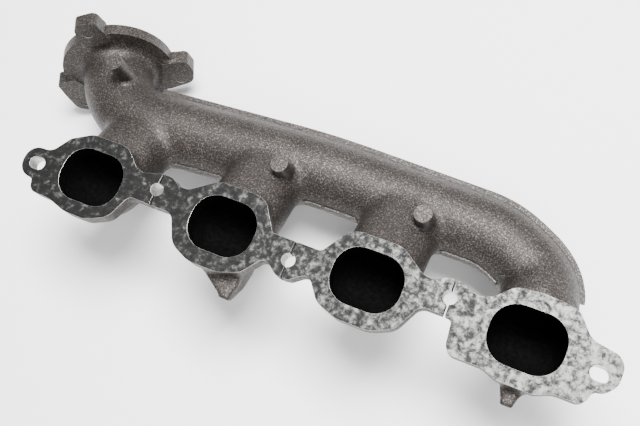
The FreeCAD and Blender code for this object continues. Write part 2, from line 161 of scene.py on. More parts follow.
def extrude_down(bm, depth):
    """Gives a flat face a thickness below it."""
    down = bmesh.ops.extrude_face_region(bm, geom=bm.faces[:])["geom"]
    moved = [item for item in down if isinstance(item, bmesh.types.BMVert)]
    bmesh.ops.translate(bm, vec=(0, 0, -depth), verts=moved)
    bmesh.ops.recalc_face_normals(bm, faces=bm.faces[:])
    return bm


# %% Lines with rounded corners, and sweeps along them
def rounded_line(corners):
    """Points along straight runs that are joined by arcs. corners holds (point, radius)."""
    points = [corners[0][0]]
    for (before, _), (corner, radius), (after, _) in zip(corners, corners[1:], corners[2:]):
        way_in, way_out = (corner - before).normalized(), (after - corner).normalized()
        turn = way_in.angle(way_out)
        start = corner - way_in * radius * math.tan(turn / 2)
        axis = way_in.cross(way_out).normalized()
        centre = start + axis.cross(way_in) * radius
        steps = max(4, round(radius * turn / (5 * MM)))
        points += [centre + Matrix.Rotation(turn * step / steps, 3, axis) @ (start - centre)
                   for step in range(steps + 1)]
    return points + [corners[-1][0]]


def sweep(bm, points, growth=1.0):
    """Extrudes the one face of bm, which lies at the first point, along the points."""
    face = bm.faces[:][0]
    ways = [(there - here).normalized() for here, there in zip(points, points[1:])]
    length = sum((there - here).length for here, there in zip(points, points[1:]))
    for index, (here, there) in enumerate(zip(points, points[1:])):
        made = bmesh.ops.extrude_face_region(bm, geom=[face])["geom"]
        face = next(item for item in made if isinstance(item, bmesh.types.BMFace))
        turn = Matrix.Identity(4)
        if index + 1 < len(ways):
            half = ways[index].lerp(ways[index + 1], 0.5).normalized()
            normal_now = ways[0] if index == 0 else ways[index - 1].lerp(ways[index], 0.5).normalized()
            turn = normal_now.rotation_difference(half).to_matrix().to_4x4()
        elif index:
            normal_now = ways[index - 1].lerp(ways[index], 0.5)
            turn = normal_now.rotation_difference(ways[index]).to_matrix().to_4x4()
        swell = Matrix.Scale(growth ** ((there - here).length / length), 4)
        move = Matrix.Translation(there) @ turn @ swell @ Matrix.Translation(-here)
        bmesh.ops.transform(bm, matrix=move, verts=face.verts[:])
    bmesh.ops.recalc_face_normals(bm, faces=bm.faces[:])
    return bm


# %% [markdown]
# ## The rough shape: runners and collecting pipe
#
# A pattern maker thinks of two solids: the outside of the iron, and the sand core that keeps the
# inside hollow. Both are swept here along the same lines, the core one wall thinner all round.

# %% Lines of the gas path
def on_pipe_plane(x, y):
    """A point of the plane that the collecting pipe's axis lies in."""
    return Vector((x, y, -PIPE_DEEP + PIPE_RISE * (PORT_X[4] - x)))


PORT_4_CORNER = Vector((PORT_X[4], 0, -23 * MM))
FRONT_CORNER = on_pipe_plane(PORT_X[4], 51.7 * MM)
PIPE_LINE = rounded_line([
    (PORT_4_CORNER.lerp(FRONT_CORNER, 0.45), 0),
    (FRONT_CORNER, 32 * MM),
    (on_pipe_plane(124.0 * MM, 73.2 * MM), 70 * MM),
    (on_pipe_plane(-20.0 * MM, 76.0 * MM), 700 * MM),
    (OUTLET_CENTRE - OUTLET_AXIS * 58.3 * MM, 60 * MM),
    (OUTLET_CENTRE - OUTLET_AXIS * 5 * MM, 0),
])
RUNNER_END = {1: (66.6 * MM, -56.2 * MM), 2: (74.5 * MM, -57.5 * MM),
              3: (75.8 * MM, -58.7 * MM), 4: (32.0 * MM, -46.0 * MM)}


def runner_line(port):
    """A runner's axis: in from the face, round one bend and slanting to the pipe."""
    x = PORT_X[port]
    return rounded_line([(Vector((x, 0, 0)), 0), (Vector((x, 0, -23 * MM)), 27 * MM),
                         (Vector((x, *RUNNER_END[port])), 0)])


RUNNER_TAPER = 0.92


def runner_solid(port, wall):
    bm = rounded_rectangle(PORT_WIDTH + 2 * wall, PORT_HEIGHT + 2 * wall, PORT_CORNER + wall)
    bmesh.ops.translate(bm, vec=(PORT_X[port], 0, 0), verts=bm.verts[:])
    return sweep(bm, runner_line(port), growth=RUNNER_TAPER)


def disc(radius, centre, axis, segments=48):
    """A bmesh with one round face that looks along axis."""
    bm = bmesh.new()
    place = Matrix.Translation(centre) @ axis.to_track_quat("Z", "Y").to_matrix().to_4x4()
    bmesh.ops.create_circle(bm, cap_ends=True, segments=segments, radius=radius, matrix=place)
    return bm


def pipe_solid(wall):
    start_way = (PIPE_LINE[1] - PIPE_LINE[0]).normalized()
    bm = disc(PIPE_FRONT - WALL + wall, PIPE_LINE[0], start_way)
    return sweep(bm, PIPE_LINE, growth=(PIPE_OUTLET - WALL + wall) / (PIPE_FRONT - WALL + wall))


# %% [markdown]
# ## The pads' outlines
#
# The four pads carry the gasket. Each outline is a ring of corners with a round on each, which is
# how a drawing would give it. Neighbours are parted by a saw cut through the bolt hole between
# them, so that the iron can grow when it is hot.

# %% Pad outlines and bolt places
MIDDLE_TOP = [(-50.8, 20.7, 6), (-38.8, 13.8, 12), (-15.0, 30.2, 16), (22.0, 29.9, 14), (37.0, 7.8, 4)]
MIDDLE_BOTTOM = [(50.5, -18.9, 4), (39.0, -10.2, 6), (26.5, -26.5, 12), (10.0, -32.2, 20),
                 (-13.0, -32.2, 20), (-29.5, -25.0, 14), (-40.0, -4.0, 8)]
FIRST_PAD = [(-132, -3.6, 5), (-141, -23.5, 12), (-157.5, -31.2, 14), (-176, -31.1, 20),
             (-192, -26.2, 16), (-209.5, -25.6, 6), (-213, -16.2, 2), (-226.6, -16.2, 11),
             (-226.6, 7.7, 11), (-207.5, 8.2, 9), (-197, 22.6, 6), (-181, 31.2, 12),
             (-150, 31.2, 14), (-133.5, 15.4, 12)]
LAST_PAD = [(117.5, 20.4, 5), (127, 15.2, 12), (138.5, 18.6, 14), (150, 30.2, 12), (168, 32.4, 30),
            (192.5, 30.2, 12), (204.8, 14.6, 12), (229, 10.4, 10), (229, -15.2, 12),
            (215.8, -15.2, 2), (212.5, -26.8, 7), (194, -26.8, 12), (182, -31.8, 12),
            (158, -31.8, 14), (147, -27.5, 14), (121, -27.5, 8), (118.3, -4.4, 2)]
BOLTS = [(-214.2, -4.2), (-114.0, 8.5), (-0.5, -6.2), (112.4, 8.5), (216.2, -4.2)]
BOLT_RADIUS, SLOT_LENGTH, SAW_CUT = 5 * MM, 13.2 * MM, 1.8 * MM
UPPER_WEB, LOWER_WEB = (-4.0, 20.8), (-19.6, 7.8)


def cut_end(bolt, side, web):
    """The square end of a web beside the saw cut through a bolt hole."""
    x = BOLTS[bolt][0] + side * SAW_CUT / MM / 2
    low, high = [(x, y, 0) for y in web]
    return [low, high] if side > 0 else [high, low]


def about_port(corners, port, hand=1):
    """Corners moved to a port's centre, turned left to right when hand is -1."""
    there = [(hand * x + PORT_X[port] / MM, y, radius) for x, y, radius in corners]
    return there if hand > 0 else there[::-1]


PAD_OUTLINES = {
    1: cut_end(1, -1, UPPER_WEB) + FIRST_PAD,
    2: (cut_end(1, 1, UPPER_WEB) + about_port(MIDDLE_TOP, 2)
        + cut_end(2, -1, LOWER_WEB) + about_port(MIDDLE_BOTTOM, 2)),
    3: (cut_end(2, 1, LOWER_WEB) + about_port(MIDDLE_TOP, 3, -1)
        + cut_end(3, -1, UPPER_WEB) + about_port(MIDDLE_BOTTOM, 3, -1)),
    4: cut_end(3, 1, UPPER_WEB) + LAST_PAD,
}


def pad_blank(port, inset=0.0, top=0.0):
    """A pad before it is drilled: its outline, drawn in by inset, and extruded to its back."""
    bm = rounded_face([(x * MM, y * MM, radius * MM) for x, y, radius in PAD_OUTLINES[port]])
    if inset:
        bmesh.ops.inset_region(bm, faces=bm.faces[:], thickness=inset, use_even_offset=True)
        rim = [face for face in bm.faces if len(face.verts) == 4]
        bmesh.ops.delete(bm, geom=rim, context="FACES")
    bmesh.ops.translate(bm, vec=(0, 0, top), verts=bm.verts[:])
    return extrude_down(bm, PAD_THICK + top)


# %% [markdown]
# ## Voxel remeshing and creeping fillets
#
# Every inside corner of a casting is round, because sharp sand would break off. Fillets could be
# bevelled on, but bevels fail where two curved tubes meet. Instead the solids are joined into one
# skin by a voxel remesh, and only the vertices that lie in a hollow are smoothed: metal creeps
# into the corners there and nothing else shrinks.

# %% Remesh and fillet helpers
def voxel_skin(bm, voxel):
    """One closed skin round all the solids in bm."""
    piece = finish_object("skin_work", bm)
    remesh = piece.modifiers.new("voxels", "REMESH")
    remesh.mode = "VOXEL"
    remesh.voxel_size = voxel
    return shape_after_modifiers(piece)


def hollow_depth(vert):
    """How far a vertex lies below the middle of its neighbours, along its normal."""
    around = [edge.other_vert(vert).co for edge in vert.link_edges]
    return (sum(around, Vector()) / len(around) - vert.co).dot(vert.normal)


def creep_fillets(bm, rounds, depth):
    """Smooths only the vertices that are deeper than depth in a hollow, round after round."""
    for _ in range(rounds):
        bm.normal_update()
        hollow = [vert for vert in bm.verts if hollow_depth(vert) > depth]
        bmesh.ops.smooth_vert(bm, verts=hollow, factor=0.7, use_axis_x=True, use_axis_y=True, use_axis_z=True)
    return bm


def smooth_all(bm, rounds):
    for _ in range(rounds):
        bmesh.ops.smooth_vert(bm, verts=bm.verts[:], factor=0.5, use_axis_x=True, use_axis_y=True,
                              use_axis_z=True)
    return bm


# %% [markdown]
# ## The outlet flange
#
# The next pipe bolts to a round rim with three lugs. The rim is thin and the lugs are thick, so
# that the studs have enough thread. The shape is drawn flat, with the flange's own axis as Z, and
# then turned into place as a whole.

# %% Outlet flange
LUGS = [
    [(-12.5, 49.5, 7), (-7.2, 63.0, 5), (10.0, 63.0, 5), (15.0, 49.5, 7)],
    [(94.9, 48.0, 3), (96.7, 60.0, 4), (108.7, 64.0, 8), (121.0, 64.0, 9), (130.0, 53.0, 9),
     (138.0, 46.8, 0)],
    [(-140.0, 47.0, 8), (-131.0, 60.0, 9), (-117.0, 64.0, 8), (-101.3, 58.6, 20),
     (-83.8, 57.0, 4), (-82.7, 48.0, 3)],
]
STUD_ANGLES, STUD_RING, STUD_HOLE = (0, 120, 240), 53 * MM, 4.25 * MM
FLANGE_TURN = math.radians(-5.2)
LUG_WAY = (Vector((0, 0, 1)) - OUTLET_AXIS * OUTLET_AXIS.z).normalized()
FLANGE_PLACE = (Matrix.Translation(OUTLET_CENTRE)
                @ Matrix((LUG_WAY, OUTLET_AXIS.cross(LUG_WAY), OUTLET_AXIS)).transposed().to_4x4()
                @ Matrix.Rotation(FLANGE_TURN, 4, "Z"))


def polar(angle, distance):
    """A flat point at an angle in degrees and a distance in metres."""
    return distance * math.cos(math.radians(angle)), distance * math.sin(math.radians(angle))


def lug_blank(outline, inset=0.0):
    corners = [(*polar(angle, far * MM - inset), radius * MM) for angle, far, radius in outline]
    inner = [(*polar(angle, OUTLET_RIM - 8 * MM), 0) for angle in (outline[-1][0], outline[0][0])]
    return extrude_down(rounded_face(corners + inner), OUTLET_LUG_THICK - inset)


def flange_blank(inset=0.0):
    """The rim and its three lugs, flat about their own axis, with the front face at Z 0."""
    rim = extrude_down(disc(OUTLET_RIM - inset, Vector(), Vector((0, 0, 1)), 96), OUTLET_THICK - inset)
    return join(rim, *[lug_blank(outline, inset) for outline in LUGS])


# %% [markdown]
# ## Bosses and gussets
#
# Three plain bosses carry a heat shield. Two webs stiffen the pads from below: each starts as a
# wide foot behind the pad and narrows to a tip.

# %% Boss and gusset solids
BOSS_RADIUS, BOSS_FACE, BOSS_REACH = 6.9 * MM, -8 * MM, 35 * MM
BOSS_XY = {}
for number in (1, 2, 3):
    low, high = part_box(f"heat_shield_boss_{number}")
    BOSS_XY[number] = ((low[0] + high[0]) / 2, (low[1] + high[1]) / 2)
print("bosses in mm:", {n: (round(x / MM, 1), round(y / MM, 1)) for n, (x, y) in BOSS_XY.items()})


def boss_solid(number, inset=0.0):
    face = disc(BOSS_RADIUS - inset, Vector((*BOSS_XY[number], BOSS_FACE - inset)), Vector((0, 0, 1)), 40)
    return extrude_down(face, BOSS_REACH)


GUSSETS = {2: (-38.5, -46.5, -65.0, -32.5), 4: (169.0, -43.5, 160.0, 182.0)}
GUSSET_HALF = 4.5
GUSSET_DEEP = PAD_THICK + 0.7 * MM


def gusset_solid(port):
    """A foot plate behind the pad and an upright web, both rounded."""
    middle, tip, left, right = GUSSETS[port]
    foot = rounded_face([(x * MM, y * MM, radius * MM) for x, y, radius in [
        (left, -15, 0), (left, -30, 3), (middle - GUSSET_HALF, tip + 2, 10),
        (middle - GUSSET_HALF + 3, tip, 1.5), (middle + GUSSET_HALF - 1, tip, 3),
        (middle + GUSSET_HALF + 2, -34, 5), (right, -29, 3), (right, -15, 0)]])
    foot = extrude_down(foot, 6 * MM)
    bmesh.ops.translate(foot, vec=(0, 0, -GUSSET_DEEP), verts=foot.verts[:])
    web = rounded_face([(x * MM, y * MM, radius * MM) for x, y, radius in [
        (-10, 0, 0), (tip, 0, 0), (tip, -8, 5), (-33, -24, 8), (-20, -30, 4), (-8, -30, 0)]])
    web = extrude_down(web, 2 * GUSSET_HALF * MM)
    stand = Matrix(((0, 0, 1, (middle + GUSSET_HALF) * MM), (1, 0, 0, 0),
                    (0, 1, 0, -GUSSET_DEEP), (0, 0, 0, 1)))
    bmesh.ops.transform(web, matrix=stand, verts=web.verts[:])
    return join(foot, web)


# %% [markdown]
# ## The rough casting's outer skin
#
# Two passes give two sizes of fillet. The first joins the big tubes with coarse voxels, so a few
# rounds of creeping already make broad, soft fillets. The second adds the small features with
# fine voxels and gives them small fillets. The crisp pieces that come later, such as the pads,
# are a little larger than their cores in this skin, so only the fillets show beside them.

# %% Coarse skin with broad fillets
CORE_INSET = 0.35 * MM


def flange_core():
    bm = flange_blank(CORE_INSET)
    bmesh.ops.transform(bm, matrix=FLANGE_PLACE, verts=bm.verts[:])
    return bm


COARSE_VOXEL, BROAD_ROUNDS = 2.4 * MM, 16
HOLLOW = 0.02 * MM
coarse = voxel_skin(join(pipe_solid(WALL), flange_core(), *[runner_solid(port, WALL) for port in PORTS]),
                    COARSE_VOXEL)
creep_fillets(coarse, BROAD_ROUNDS, HOLLOW)
print("coarse skin:", len(coarse.verts), "vertices")

# %% Fine skin with small fillets
small = [pad_blank(port, CORE_INSET, -CORE_INSET) for port in PORTS]
small += [boss_solid(number, CORE_INSET) for number in BOSS_XY]
small += [gusset_solid(port) for port in GUSSETS]
FINE_VOXEL, SMALL_ROUNDS = 1.5 * MM, 12
skin = voxel_skin(join(coarse, flange_core(), *small), FINE_VOXEL)
creep_fillets(skin, SMALL_ROUNDS, HOLLOW)
smooth_all(skin, 2)
print("fine skin:", len(skin.verts), "vertices")

# %% [markdown]
# ## Finishes
#
# Three finishes make the part: the as-cast skin, the milled face with its dark stains, and bare
# bright metal where a tool has cut last; the inside of the gas path is coloured near black as
# painted shade. All are procedural and read Object coordinates. Since every piece's object sits
# at the origin, a pattern runs on across the joints between pieces.

# %% Material helpers
def new_material(name):
    """A material with its node tree, its shader and an Object coordinate output."""
    material = bpy.data.materials.new(name)
    material.use_nodes = True
    nodes = material.node_tree.nodes
    place = nodes.new("ShaderNodeTexCoord").outputs["Object"]
    return material, nodes["Principled BSDF"], place


def noise(material, place, scale, detail=4.0, roughness=0.6, distortion=0.0):
    node = material.node_tree.nodes.new("ShaderNodeTexNoise")
    node.inputs["Scale"].default_value = scale
    node.inputs["Detail"].default_value = detail
    node.inputs["Roughness"].default_value = roughness
    node.inputs["Distortion"].default_value = distortion
    material.node_tree.links.new(place, node.inputs["Vector"])
    return node.outputs["Fac"]


def ramp(material, factor, stops):
    """A colour ramp with (position, grey or colour) stops."""
    node = material.node_tree.nodes.new("ShaderNodeValToRGB")
    while len(node.color_ramp.elements) < len(stops):
        node.color_ramp.elements.new(0.5)
    for element, (position, colour) in zip(node.color_ramp.elements, stops):
        element.position = position
        element.color = (*colour, 1) if isinstance(colour, tuple) else (colour, colour, colour, 1)
    material.node_tree.links.new(factor, node.inputs["Fac"])
    return node.outputs["Color"]


def mix(material, kind, first, second, factor=1.0):
    """Two colours mixed in one of Blender's ways. factor is a number or a socket."""
    node = material.node_tree.nodes.new("ShaderNodeMix")
    node.data_type = "RGBA"
    node.blend_type = kind
    for socket, value in (("A_Color", first), ("B_Color", second)):
        target = next(item for item in node.inputs if item.identifier == socket)
        material.node_tree.links.new(value, target)
    target = next(item for item in node.inputs if item.identifier == "Factor_Float")
    if isinstance(factor, float):
        target.default_value = factor
    else:
        material.node_tree.links.new(factor, target)
    return next(item for item in node.outputs if item.identifier == "Result_Color")


def bump(material, shader, height, distance, strength=1.0):
    node = material.node_tree.nodes.new("ShaderNodeBump")
    node.inputs["Distance"].default_value = distance
    node.inputs["Strength"].default_value = strength
    material.node_tree.links.new(height, node.inputs["Height"])
    material.node_tree.links.new(node.outputs["Normal"], shader.inputs["Normal"])


# %% As-cast skin
def cast_skin():
    """Warm grey iron with the fine grain of shot blasting and a few large, soft stains."""
    material, shader, place = new_material("cast_iron_skin")
    link = material.node_tree.links.new
    grain = noise(material, place, 850.0, 4.0, 0.75)
    stain = noise(material, place, 22.0, 3.0, 0.5)
    grains = ramp(material, grain, [(0.36, (0.009, 0.0075, 0.0068)), (0.53, (0.030, 0.0255, 0.0235)),
                                    (0.68, (0.17, 0.15, 0.135))])
    stains = ramp(material, stain, [(0.35, (0.72, 0.70, 0.69)), (0.65, (1.0, 0.985, 0.97))])
    link(mix(material, "MULTIPLY", grains, stains), shader.inputs["Base Color"])
    link(ramp(material, grain, [(0.3, 0.62), (0.75, 0.42)]), shader.inputs["Roughness"])
    shader.inputs["Metallic"].default_value = 0.55
    bump(material, shader, grain, 0.0004, 0.6)
    return material


# %% Milled face
def milled_face():
    """Milled iron under a dark, mottled oxide, made lighter towards the last port by a lift along X."""
    material, shader, place = new_material("milled_iron_face")
    link = material.node_tree.links.new
    nodes = material.node_tree.nodes
    blotch = noise(material, place, 170.0, 8.0, 0.74, 0.2)
    split_place = nodes.new("ShaderNodeSeparateXYZ")
    link(place, split_place.inputs[0])
    # A lift that grows along X, so the faces come out lighter towards the last port.
    lift_along_x = nodes.new("ShaderNodeMapRange")
    lift_along_x.inputs["From Min"].default_value = -0.10
    lift_along_x.inputs["From Max"].default_value = 0.22
    lift_along_x.inputs["To Min"].default_value = -0.02
    lift_along_x.inputs["To Max"].default_value = 0.12
    link(split_place.outputs["X"], lift_along_x.inputs["Value"])
    lift = nodes.new("ShaderNodeMath")
    lift.operation = "ADD"
    link(blotch, lift.inputs[0])
    link(lift_along_x.outputs[0], lift.inputs[1])
    stained = ramp(material, lift.outputs[0], [(0.44, (0.001, 0.001, 0.001)), (0.52, (0.004, 0.004, 0.0038)),
                                               (0.58, (0.035, 0.035, 0.033)), (0.70, (0.14, 0.14, 0.132))])
    link(stained, shader.inputs["Base Color"])
    link(ramp(material, lift.outputs[0], [(0.40, 0.75), (0.62, 0.42)]), shader.inputs["Roughness"])
    shader.inputs["Metallic"].default_value = 0.3
    shader.inputs["Specular IOR Level"].default_value = 0.3
    bump(material, shader, blotch, 0.0002, 0.4)
    return material


# %% Bare metal and the painted shade inside
def bare_metal():
    """Iron that a drill, a saw or a deburring file has cut bright."""
    material, shader, place = new_material("bare_cut_iron")
    scratch = noise(material, place, 500.0, 2.0, 0.6)
    colour = ramp(material, scratch, [(0.3, (0.42, 0.41, 0.39)), (0.7, (0.66, 0.65, 0.63))])
    material.node_tree.links.new(colour, shader.inputs["Base Color"])
    shader.inputs["Metallic"].default_value = 0.8
    shader.inputs["Roughness"].default_value = 0.38
    return material


def core_painted_shade():
    """The dull inside of the gas path, coloured near black: painted shade for the dark deep in the ports."""
    material, shader, place = new_material("core_iron_painted_shade")
    grain = noise(material, place, 300.0, 3.0, 0.6)
    # Near-black colour, far darker than the iron itself: painted shade deep in the ports.
    colour = ramp(material, grain, [(0.3, 0.001), (0.7, 0.003)])
    material.node_tree.links.new(colour, shader.inputs["Base Color"])
    shader.inputs["Roughness"].default_value = 0.95
    shader.inputs["Specular IOR Level"].default_value = 0.02
    return material


CAST, MILLED, BARE, CORE = cast_skin(), milled_face(), bare_metal(), core_painted_shade()

# %% [markdown]
# ## The machined pads
#
# A pad is milled flat, sawn from its neighbour and drilled. Here the blank's outline already has
# the saw cuts, and Boolean modifiers take away the port and the bolt holes. The sharp rim that a
# cutter leaves is broken by a small bevel, which is what catches the light round every pad.

# %% Cutting tools
def carve(bm, *tools, kind="DIFFERENCE"):
    """Cuts closed tools out of a closed bmesh, or adds them, with exact booleans."""
    piece = finish_object("carve_work", bm)
    cutters = [finish_object("carve_tool", tool) for tool in tools]
    for cutter in cutters:
        step = piece.modifiers.new("cut", "BOOLEAN")
        step.operation = kind
        step.solver = "EXACT"
        step.object = cutter
    result = shape_after_modifiers(piece)
    for cutter in cutters:
        bpy.data.objects.remove(cutter)
    return result


TOOL_ABOVE, TOOL_LENGTH = 5 * MM, 25 * MM
# A hair under half the tool's height, so that its corner rounds don't quite meet.
ROUND_END = 0.999


def drill(x, y, length=2 * BOLT_RADIUS):
    """A tool for a round hole, or for a slot when it is longer than it is wide."""
    face = rounded_rectangle(length, 2 * BOLT_RADIUS, BOLT_RADIUS * ROUND_END)
    bmesh.ops.translate(face, vec=(x * MM, y * MM, TOOL_ABOVE), verts=face.verts[:])
    return extrude_down(face, TOOL_LENGTH)


def port_tool(port):
    """A tool for a port's opening."""
    face = rounded_rectangle(PORT_WIDTH, PORT_HEIGHT, PORT_CORNER)
    bmesh.ops.translate(face, vec=(PORT_X[port], 0, TOOL_ABOVE), verts=face.verts[:])
    return extrude_down(face, TOOL_LENGTH)


def break_edges(bm, edges, width, segments=2):
    """Takes the sharpness off edges with a small bevel."""
    bmesh.ops.bevel(bm, geom=edges, offset=width, offset_type="OFFSET", segments=segments, profile=0.5,
                    affect="EDGES", material=-1, clamp_overlap=True)


# %% Pads
RIM = 0.45 * MM


def is_front_edge(edge):
    """True for an edge between the milled face and a wall."""
    flat = [abs(face.normal.z) > 0.9 for face in edge.link_faces]
    return len(flat) == 2 and flat[0] != flat[1] and all(abs(vert.co.z) < 1e-6 for vert in edge.verts)


def machined_pad(port):
    """A finished pad; slots of its mesh: 0 milled, 1 cast, 2 bare, 3 core (near black, painted shade)."""
    bolts = {1: (0, 1), 2: (1, 2), 3: (2, 3), 4: (3, 4)}[port]
    holes = [drill(*BOLTS[bolt], SLOT_LENGTH if bolt in (0, 4) else 2 * BOLT_RADIUS) for bolt in bolts]
    bm = carve(pad_blank(port), port_tool(port), *holes)
    bm.normal_update()
    break_edges(bm, [edge for edge in bm.edges if is_front_edge(edge)], RIM)
    bm.normal_update()
    for face in bm.faces:
        middle = face.calc_center_median()
        near_bolt = any(math.hypot(middle.x - BOLTS[bolt][0] * MM, middle.y - BOLTS[bolt][1] * MM)
                        < (SLOT_LENGTH if bolt in (0, 4) else 2 * BOLT_RADIUS) / 2 * 1.02 for bolt in bolts)
        in_port = (abs(middle.x - PORT_X[port]) < PORT_WIDTH / 2 + RIM
                   and abs(middle.y) < PORT_HEIGHT / 2 + RIM)
        if abs(face.normal.z) > 0.98:
            face.material_index = 0 if face.normal.z > 0 else 1
        elif middle.z > -RIM * 1.1 or near_bolt:
            face.material_index = 2
        else:
            # The port's walls take the core finish: near black, painted shade.
            face.material_index = 3 if in_port and middle.z > -PAD_THICK + RIM else 1
        face.smooth = False
    return bm


pads = {port: finish_object(f"port_pad_{port}", machined_pad(port), (MILLED, CAST, BARE, CORE))
        for port in PORTS}
for port, pad in pads.items():
    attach(pad, "root")
    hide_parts(f"port_flange_{port}")
    print("pad", port, len(pad.data.polygons), "faces")

# %% [markdown]
# ## Splitting the skin into its named pieces
#
# The skin is one mesh, but the part is stored as named features. Blender's bisect cuts the mesh
# along the planes where the CAD nodes meet, without parting it; then every face goes to the node
# that its middle lies in. The shading normals are read before the split and given back after it,
# so that no joint shows on what is one casting.

# %% The core's own skin
CORE_VOXEL = 2.2 * MM
core_skin = voxel_skin(join(pipe_solid(0), *[runner_solid(port, 0) for port in PORTS]), CORE_VOXEL)
smooth_all(core_skin, 3)
bmesh.ops.reverse_faces(core_skin, faces=core_skin.faces[:])
# The inside of the gas path takes slot 1, the core finish: near black, painted shade.
for face in core_skin.faces:
    face.material_index = 1

# %% Cuts
whole = join(skin, core_skin)
RUNNER_TOP = {1: 40 * MM, 2: 47 * MM, 3: 49 * MM}
RUNNER_HALF = PORT_WIDTH / 2 + WALL + 2.5 * MM
FRONT_END, ELBOW_END = PORT_X[4] - 42 * MM, PORT_X[1] - 31 * MM
GUSSET_TOP = -(PORT_HEIGHT / 2 + WALL) - 0.6 * MM
PAD_BACK = -PAD_THICK - 0.05 * MM
FLANGE_BACK = OUTLET_CENTRE - OUTLET_AXIS * (OUTLET_THICK + 0.05 * MM)


def everything(bm):
    return bm.verts[:] + bm.edges[:] + bm.faces[:]


bmesh.ops.bisect_plane(whole, geom=everything(whole), plane_co=FLANGE_BACK, plane_no=OUTLET_AXIS,
                       clear_outer=True)
bmesh.ops.bisect_plane(whole, geom=everything(whole), plane_co=(0, 0, PAD_BACK), plane_no=(0, 0, 1))
flats = []
for port in PORTS:
    outline = rounded_face([(x * MM, y * MM, radius * MM) for x, y, radius in PAD_OUTLINES[port]])
    bmesh.ops.triangulate(outline, faces=outline.faces[:])
    flats.append(BVHTree.FromBMesh(outline))


WEB_REACH = 14 * MM


def is_under_pad(point):
    """True for a point inside a pad's outline or near one of the saw cuts."""
    if any(math.hypot(point.x - x * MM, point.y - y * MM) < WEB_REACH for x, y in BOLTS[1:-1]):
        return True
    return any(flat.ray_cast(Vector((point.x, point.y, -1)), Vector((0, 0, 1)))[0] for flat in flats)


above = [face for face in whole.faces if face.calc_center_median().z > PAD_BACK]
inner = [face for face in above if all(is_under_pad(vert.co) for vert in face.verts)]
inner += [face for face in above if face.material_index == 1]
bmesh.ops.delete(whole, geom=list(set(inner)), context="FACES")
print("faces cut away at the pads:", len(inner))
sides = [PORT_X[port] + side * RUNNER_HALF for port in (1, 2, 3) for side in (-1, 1)]
for x in sides + [-PITCH, 0.0, FRONT_END, ELBOW_END]:
    bmesh.ops.bisect_plane(whole, geom=whole.verts[:] + whole.edges[:] + whole.faces[:],
                           plane_co=(x, 0, 0), plane_no=(1, 0, 0))
for y in [GUSSET_TOP, *RUNNER_TOP.values()]:
    bmesh.ops.bisect_plane(whole, geom=whole.verts[:] + whole.edges[:] + whole.faces[:],
                           plane_co=(0, y, 0), plane_no=(0, 1, 0))


def node_of(point):
    """The CAD node that a point of the skin belongs to."""
    if point.y < GUSSET_TOP:
        return "runner_gusset_2" if point.x < 0 else "runner_gusset_4"
    for port in (1, 2, 3):
        if abs(point.x - PORT_X[port]) < RUNNER_HALF and point.y < RUNNER_TOP[port]:
            return f"runner_{port}"
    if point.x > FRONT_END:
        return "runner_4"
    if point.x < ELBOW_END:
        return "outlet_elbow"
    return f"collector_span_{1 if point.x < -PITCH else 2 if point.x < 0 else 3}"


# %% Pieces with shared shading
def split_piece(node, source, normals):
    """The faces of one node as an object of its own, with the whole skin's normals."""
    bm = source.copy()
    tag = bm.verts.layers.int["number"]
    others = [face for face in bm.faces if node_of(face.calc_center_median()) != node]
    bmesh.ops.delete(bm, geom=others, context="FACES")
    numbers = [vert[tag] for vert in bm.verts]
    for face in bm.faces:
        face.smooth = True
    piece = finish_object(f"cast_{node}", bm, (CAST, CORE))
    piece.data.normals_split_custom_set_from_vertices([normals[number] for number in numbers])
    return piece


whole.normal_update()
number_layer = whole.verts.layers.int.new("number")
for index, vert in enumerate(whole.verts):
    vert[number_layer] = index
skin_normals = [vert.normal.copy() for vert in whole.verts]
cast_nodes = sorted({node_of(face.calc_center_median()) for face in whole.faces})
for node in cast_nodes:
    piece = split_piece(node, whole, skin_normals)
    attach(piece, "root")
    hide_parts(node)
    print(piece.name, len(piece.data.polygons), "faces")

# %% [markdown]
# ## Lands, bosses and the outlet flange
#
# These stand proud of the skin with edges of their own, so they are made crisp and sit over
# their smaller cores in the skin.

# %% Parting lands
LAND_WIDTH, LAND_DEEP = 4 * MM, 53.5 * MM
LAND_ROOT = 1.0 * MM
# For each land: its block's low and high X, low and high Y, and the land's height, all in mm.
LANDS = {"parting_land_pipe": (-170, 150, 80, 130, 3.8),
         "parting_land_runner_4": (150, 220, 45, 130, 3.8)}
for span in (1, 2, 3):
    LANDS[f"parting_land_window_{span}"] = (
        (PORT_X[span] + RUNNER_HALF) / MM, (PORT_X[span + 1] - RUNNER_HALF) / MM, 20, 60, 1.2)


